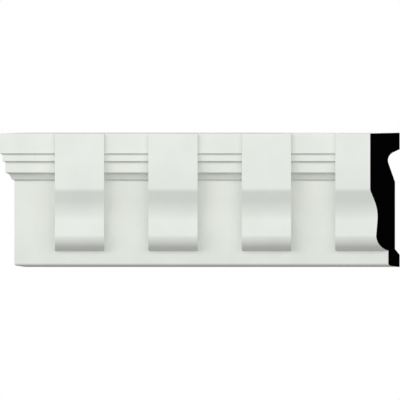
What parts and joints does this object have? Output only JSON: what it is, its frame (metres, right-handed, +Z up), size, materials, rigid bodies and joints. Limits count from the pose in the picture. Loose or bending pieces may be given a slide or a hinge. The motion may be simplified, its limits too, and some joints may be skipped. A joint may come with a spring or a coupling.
{
  "type": "dentil moulding",
  "caption": "Cast length of dentil cornice moulding: stepped crown on a plain board with evenly spaced scrolled brackets, hollowed back and parallel mitred ends.",
  "frame": {"origin": "in the wall plane, at the middle of the upper land, the higher of the two flats on the back that bear on the wall", "axes": "+X along the wall to the right as seen from the front, +Y into the wall, +Z up; the front faces -Y"},
  "size_m": [0.4277, 0.0316, 0.1437],
  "materials": {
    "white_primer": "factory-primed, smooth, satin white"
  },
  "bodies": {
    "root": {"dentil_moulding": "white_primer"}
  },
  "joints": []
}
